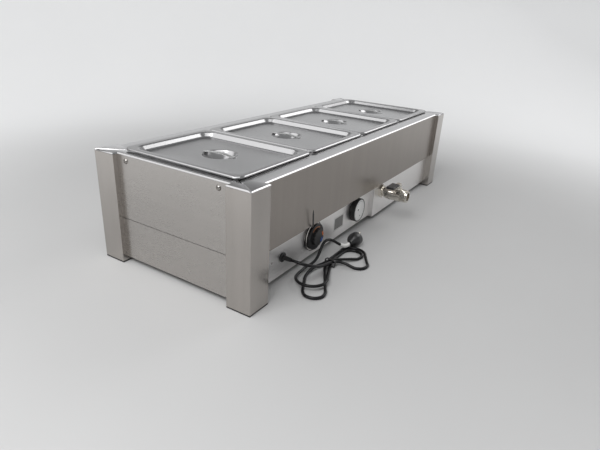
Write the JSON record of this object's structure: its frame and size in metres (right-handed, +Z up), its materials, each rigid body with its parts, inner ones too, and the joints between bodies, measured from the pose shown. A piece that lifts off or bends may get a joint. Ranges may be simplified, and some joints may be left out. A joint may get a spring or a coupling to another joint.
{
  "type": "countertop bain-marie",
  "caption": "Long countertop bain-marie: steel cabinet on corner posts, row of lidded pans over a heated water tank, knobs, drain valve and tied mains lead.",
  "frame": {"origin": "on the table plane, under the middle of the box that takes in the cabinet and the drain valve", "axes": "+X along the cabinet from the control end to the drain end, +Y from the control side to the back, +Z up"},
  "size_m": [1.12, 0.5288, 0.2662],
  "materials": {
    "cabinet_steel": "satin stainless sheet",
    "deck_steel": "satin stainless sheet, polished edges",
    "pan_steel": "bright pressed stainless sheet",
    "bright_steel": "polished",
    "nickel_brass": "nickel-plated brass",
    "heater": "drawn tube sheath",
    "copper": "drawn copper alloy",
    "black_rubber": "matt black",
    "black_plastic": "matt moulded",
    "pale_plastic": "matt moulded",
    "seat_plastic": "smooth white",
    "lever_steel": "zinc-plated strip",
    "wire": "insulated wire"
  },
  "bodies": {
    "cabinet": {"post_front_left": "cabinet_steel", "post_front_right": "cabinet_steel", "post_back_left": "cabinet_steel", "post_back_right": "cabinet_steel", "foot_pads": "black_rubber", "deck_front": "deck_steel", "deck_back": "deck_steel", "deck_left": "deck_steel", "deck_right": "deck_steel", "upper_panel_front": "cabinet_steel", "upper_panel_back": "cabinet_steel", "upper_panel_left": "cabinet_steel", "upper_panel_right": "cabinet_steel", "base_panel_back": "cabinet_steel", "base_panel_left": "cabinet_steel", "base_panel_right": "cabinet_steel", "control_panel": "cabinet_steel", "drain_panel": "cabinet_steel", "base_plate": "cabinet_steel", "water_tank": "deck_steel", "crossbars": "deck_steel", "heating_element": "heater", "thermostat_body": "pale_plastic", "sensing_bulb": "copper", "switch_body": "black_plastic", "switch_bezel": "bright_steel", "terminal_block": "pale_plastic", "wiring": "wire", "cable_gland": "black_plastic", "panel_screws": "bright_steel", "drain_pipe": "nickel_brass", "drain_locknut": "nickel_brass", "valve_body": "nickel_brass", "valve_outlet": "nickel_brass", "valve_seats": "seat_plastic", "cord_lead": "black_rubber", "cord_hank": "black_rubber", "cord_tail": "black_rubber", "cord_tie": "black_plastic", "plug": "black_plastic"},
    "pan_1": {"pan_1": "pan_steel"},
    "lid_1": {"lid_1": "pan_steel", "lid_handle_1": "bright_steel"},
    "pan_2": {"pan_2": "pan_steel"},
    "lid_2": {"lid_2": "pan_steel", "lid_handle_2": "bright_steel"},
    "pan_3": {"pan_3": "pan_steel"},
    "lid_3": {"lid_3": "pan_steel", "lid_handle_3": "bright_steel"},
    "pan_4": {"pan_4": "pan_steel"},
    "lid_4": {"lid_4": "pan_steel", "lid_handle_4": "bright_steel"},
    "thermostat": {"thermostat_knob": "black_plastic", "thermostat_shaft": "nickel_brass"},
    "switch": {"switch_knob": "black_plastic", "switch_shaft": "nickel_brass"},
    "drain_valve": {"valve_ball": "bright_steel", "valve_stem": "nickel_brass", "valve_lever": "lever_steel", "lever_sleeve": "black_rubber"}
  },
  "joints": [
    {"name": "pan_1_lift", "type": "slide", "parent": "cabinet", "child": "pan_1", "axis": [0, 0, 1], "range_m": [0, 0.12]},
    {"name": "lid_1_lift", "type": "slide", "parent": "pan_1", "child": "lid_1", "axis": [0, 0, 1], "range_m": [0, 0.06]},
    {"name": "pan_2_lift", "type": "slide", "parent": "cabinet", "child": "pan_2", "axis": [0, 0, 1], "range_m": [0, 0.12]},
    {"name": "lid_2_lift", "type": "slide", "parent": "pan_2", "child": "lid_2", "axis": [0, 0, 1], "range_m": [0, 0.06]},
    {"name": "pan_3_lift", "type": "slide", "parent": "cabinet", "child": "pan_3", "axis": [0, 0, 1], "range_m": [0, 0.12]},
    {"name": "lid_3_lift", "type": "slide", "parent": "pan_3", "child": "lid_3", "axis": [0, 0, 1], "range_m": [0, 0.06]},
    {"name": "pan_4_lift", "type": "slide", "parent": "cabinet", "child": "pan_4", "axis": [0, 0, 1], "range_m": [0, 0.12]},
    {"name": "lid_4_lift", "type": "slide", "parent": "pan_4", "child": "lid_4", "axis": [0, 0, 1], "range_m": [0, 0.06]},
    {"name": "thermostat_turn", "type": "hinge", "parent": "cabinet", "child": "thermostat", "pos_m": [-0.044, -0.163, 0.0635], "axis": [0, 1, 0], "range_deg": [0, 270]},
    {"name": "switch_turn", "type": "hinge", "parent": "cabinet", "child": "switch", "pos_m": [-0.272, -0.166, 0.0635], "axis": [0, 1, 0], "range_deg": [0, 180]},
    {"name": "drain_valve_turn", "type": "hinge", "parent": "cabinet", "child": "drain_valve", "pos_m": [0.098, -0.215, 0.083], "axis": [0, 0, 1], "range_deg": [0, 90]}
  ]
}
